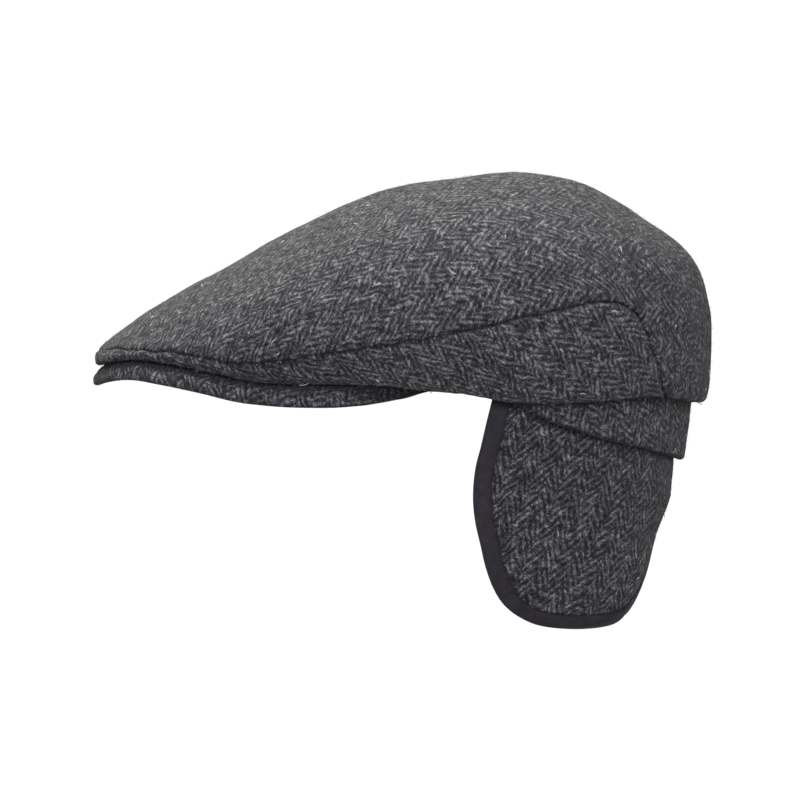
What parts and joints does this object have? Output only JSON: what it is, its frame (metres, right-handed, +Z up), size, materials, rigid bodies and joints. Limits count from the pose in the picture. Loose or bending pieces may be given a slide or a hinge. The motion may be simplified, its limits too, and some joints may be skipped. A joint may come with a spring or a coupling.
{
  "type": "tweed flat cap with ear flaps",
  "caption": "Flat cap in dark herringbone tweed with a stiff peak under the crown's front, a neck band and lined ear flaps let down at both sides.",
  "frame": {"origin": "middle of the head opening at the level of the crown's hem, where the cap sits on a head", "axes": "+Z up through the crown, the peak points to -Y, and +X is the wearer's left"},
  "size_m": [0.206, 0.276, 0.2024],
  "materials": {
    "tweed": "charcoal herringbone wool tweed, rough and slightly hairy",
    "flap_lining": "smooth black fleece-backed cloth, matt"
  },
  "bodies": {
    "root": {"crown_top": "tweed", "crown_side_left": "tweed", "crown_side_right": "tweed", "peak": "tweed", "neck_band": "tweed", "ear_flap_left": "tweed", "ear_flap_right": "tweed", "flap_lining_left": "flap_lining", "flap_lining_right": "flap_lining"}
  },
  "joints": []
}
